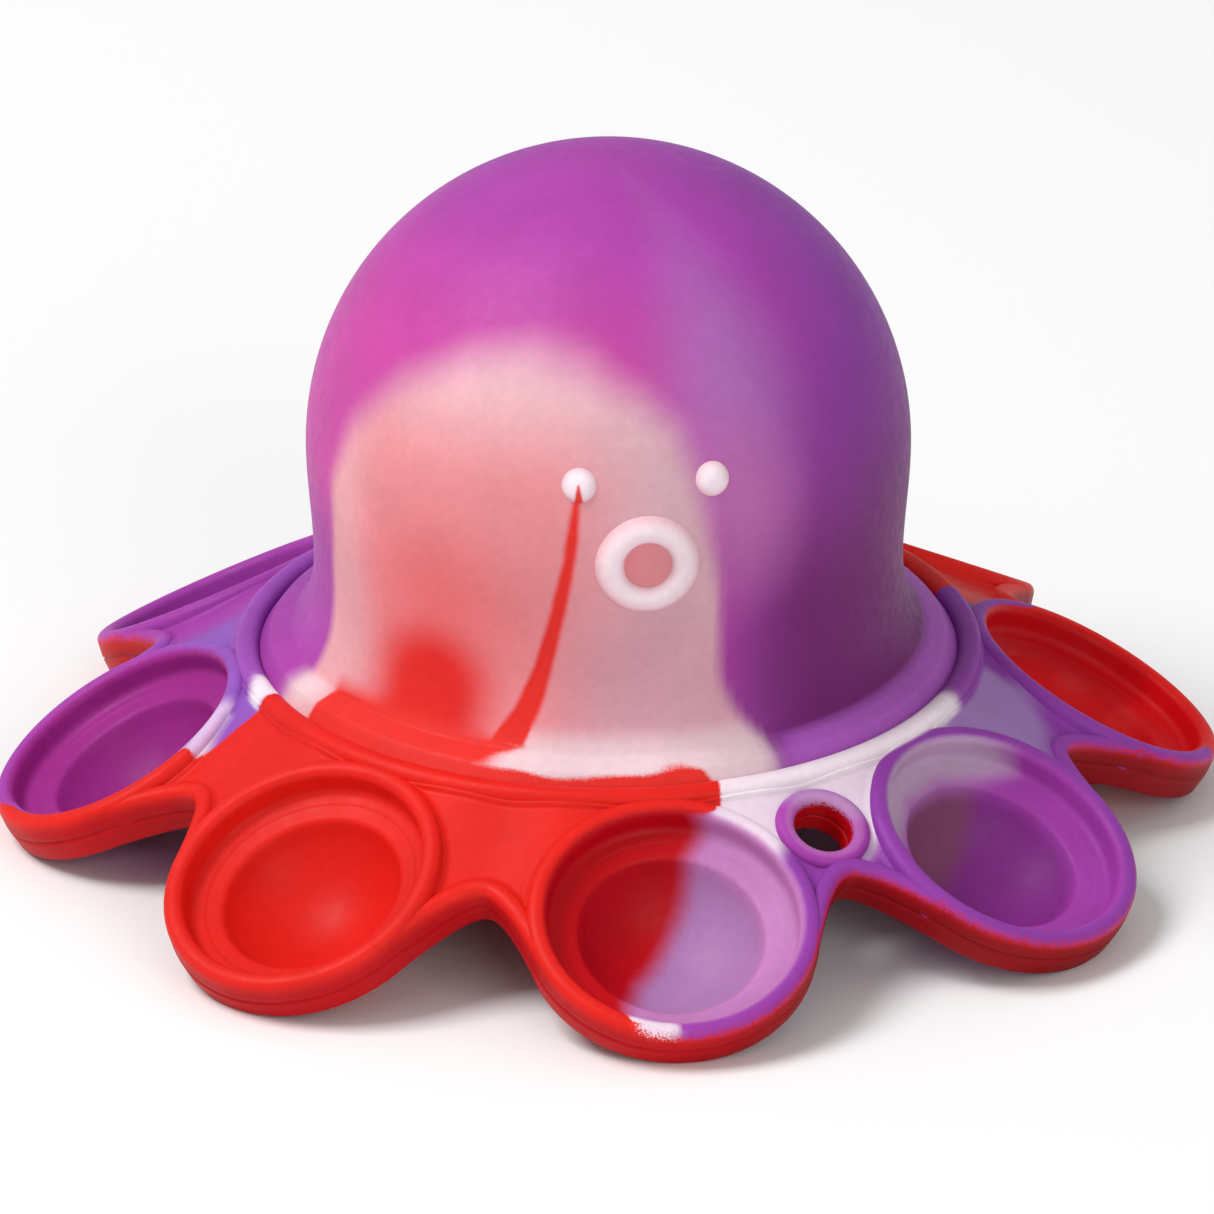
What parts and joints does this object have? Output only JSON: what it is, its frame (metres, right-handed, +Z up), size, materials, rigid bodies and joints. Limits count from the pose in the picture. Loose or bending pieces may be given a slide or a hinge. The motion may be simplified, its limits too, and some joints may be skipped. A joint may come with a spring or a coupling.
{
  "type": "push bubble octopus toy",
  "caption": "Reversible soft octopus fidget toy: hollow domed head that pushes in, round arms with pop-through bubbles, key eyelet.",
  "frame": {"origin": "on the standing surface, under the middle of the head", "axes": "+Z up, through the top of the head; -Y the way the face looks; +X to the right as seen from the front"},
  "size_m": [0.1216, 0.1216, 0.0694],
  "materials": {
    "marbled_purple": "matt marbled silicone, purple to magenta",
    "marbled_red": "matt marbled silicone, warm red",
    "milky_white": "matt translucent milky silicone"
  },
  "bodies": {
    "core": {"head_wall": "marbled_purple", "head_shoulder": "marbled_purple", "head_ring": "marbled_purple", "eye_left": "milky_white", "eye_right": "milky_white", "mouth_ring": "milky_white", "key_eyelet": "marbled_purple", "web_1": "milky_white", "web_2": "milky_white", "web_3": "marbled_red", "web_4": "marbled_purple", "web_5": "marbled_purple", "web_6": "marbled_purple", "web_7": "marbled_purple", "web_8": "marbled_red"},
    "dome": {"head_crown": "marbled_purple"},
    "arm_front": {"arm_front": "marbled_red", "bubble_wall_front": "marbled_red"},
    "bubble_front": {"bubble_crown_front": "marbled_red"},
    "arm_front_right": {"arm_front_right": "marbled_purple", "bubble_wall_front_right": "marbled_purple"},
    "bubble_front_right": {"bubble_crown_front_right": "marbled_purple"},
    "arm_right": {"arm_right": "marbled_purple", "bubble_wall_right": "marbled_purple"},
    "bubble_right": {"bubble_crown_right": "marbled_purple"},
    "arm_rear_right": {"arm_rear_right": "marbled_red", "bubble_wall_rear_right": "marbled_red"},
    "bubble_rear_right": {"bubble_crown_rear_right": "marbled_red"},
    "arm_rear": {"arm_rear": "marbled_purple", "bubble_wall_rear": "marbled_purple"},
    "bubble_rear": {"bubble_crown_rear": "marbled_purple"},
    "arm_rear_left": {"arm_rear_left": "marbled_purple", "bubble_wall_rear_left": "marbled_purple"},
    "bubble_rear_left": {"bubble_crown_rear_left": "marbled_purple"},
    "arm_left": {"arm_left": "marbled_purple", "bubble_wall_left": "marbled_purple"},
    "bubble_left": {"bubble_crown_left": "marbled_purple"},
    "arm_front_left": {"arm_front_left": "marbled_red", "bubble_wall_front_left": "marbled_red"},
    "bubble_front_left": {"bubble_crown_front_left": "marbled_red"}
  },
  "joints": [
    {"name": "dome_push", "type": "slide", "parent": "core", "child": "dome", "axis": [0, 0, -1], "range_m": [0, 0.0354], "deforming": ["head_shoulder"]},
    {"name": "flex_front", "type": "hinge", "parent": "core", "child": "arm_front", "pos_m": [0, -0.0369, 0.01498], "axis": [-1, 0, 0], "range_deg": [0, 25], "stiffness_Nm_per_rad": 0.04, "springref_deg": -3.44, "deforming": ["web_8", "web_1"]},
    {"name": "pop_front", "type": "slide", "parent": "arm_front", "child": "bubble_front", "axis": [0, -0.4924, 0.8704], "range_m": [0, 0.0126], "deforming": ["bubble_wall_front"]},
    {"name": "flex_front_right", "type": "hinge", "parent": "core", "child": "arm_front_right", "pos_m": [0.02609, -0.02609, 0.01498], "axis": [-0.7071, -0.7071, 0], "range_deg": [0, 25], "stiffness_Nm_per_rad": 0.04, "springref_deg": -3.44, "deforming": ["web_1", "web_2"]},
    {"name": "pop_front_right", "type": "slide", "parent": "arm_front_right", "child": "bubble_front_right", "axis": [0.3482, -0.3482, 0.8704], "range_m": [0, 0.0126], "deforming": ["bubble_wall_front_right"]},
    {"name": "flex_right", "type": "hinge", "parent": "core", "child": "arm_right", "pos_m": [0.0369, 0, 0.01498], "axis": [0, -1, 0], "range_deg": [0, 25], "stiffness_Nm_per_rad": 0.04, "springref_deg": -3.44, "deforming": ["web_2", "web_3"]},
    {"name": "pop_right", "type": "slide", "parent": "arm_right", "child": "bubble_right", "axis": [0.4924, 0, 0.8704], "range_m": [0, 0.0126], "deforming": ["bubble_wall_right"]},
    {"name": "flex_rear_right", "type": "hinge", "parent": "core", "child": "arm_rear_right", "pos_m": [0.02609, 0.02609, 0.01498], "axis": [0.7071, -0.7071, 0], "range_deg": [0, 25], "stiffness_Nm_per_rad": 0.04, "springref_deg": -3.44, "deforming": ["web_3", "web_4"]},
    {"name": "pop_rear_right", "type": "slide", "parent": "arm_rear_right", "child": "bubble_rear_right", "axis": [0.3482, 0.3482, 0.8704], "range_m": [0, 0.0126], "deforming": ["bubble_wall_rear_right"]},
    {"name": "flex_rear", "type": "hinge", "parent": "core", "child": "arm_rear", "pos_m": [0, 0.0369, 0.01498], "axis": [1, 0, 0], "range_deg": [0, 25], "stiffness_Nm_per_rad": 0.04, "springref_deg": -3.44, "deforming": ["web_4", "web_5"]},
    {"name": "pop_rear", "type": "slide", "parent": "arm_rear", "child": "bubble_rear", "axis": [0, 0.4924, 0.8704], "range_m": [0, 0.0126], "deforming": ["bubble_wall_rear"]},
    {"name": "flex_rear_left", "type": "hinge", "parent": "core", "child": "arm_rear_left", "pos_m": [-0.02609, 0.02609, 0.01498], "axis": [0.7071, 0.7071, 0], "range_deg": [0, 25], "stiffness_Nm_per_rad": 0.04, "springref_deg": -3.44, "deforming": ["web_5", "web_6"]},
    {"name": "pop_rear_left", "type": "slide", "parent": "arm_rear_left", "child": "bubble_rear_left", "axis": [-0.3482, 0.3482, 0.8704], "range_m": [0, 0.0126], "deforming": ["bubble_wall_rear_left"]},
    {"name": "flex_left", "type": "hinge", "parent": "core", "child": "arm_left", "pos_m": [-0.0369, 0, 0.01498], "axis": [0, 1, 0], "range_deg": [0, 25], "stiffness_Nm_per_rad": 0.04, "springref_deg": -3.44, "deforming": ["web_6", "web_7"]},
    {"name": "pop_left", "type": "slide", "parent": "arm_left", "child": "bubble_left", "axis": [-0.4924, 0, 0.8704], "range_m": [0, 0.0126], "deforming": ["bubble_wall_left"]},
    {"name": "flex_front_left", "type": "hinge", "parent": "core", "child": "arm_front_left", "pos_m": [-0.02609, -0.02609, 0.01498], "axis": [-0.7071, 0.7071, 0], "range_deg": [0, 25], "stiffness_Nm_per_rad": 0.04, "springref_deg": -3.44, "deforming": ["web_7", "web_8"]},
    {"name": "pop_front_left", "type": "slide", "parent": "arm_front_left", "child": "bubble_front_left", "axis": [-0.3482, -0.3482, 0.8704], "range_m": [0, 0.0126], "deforming": ["bubble_wall_front_left"]}
  ]
}
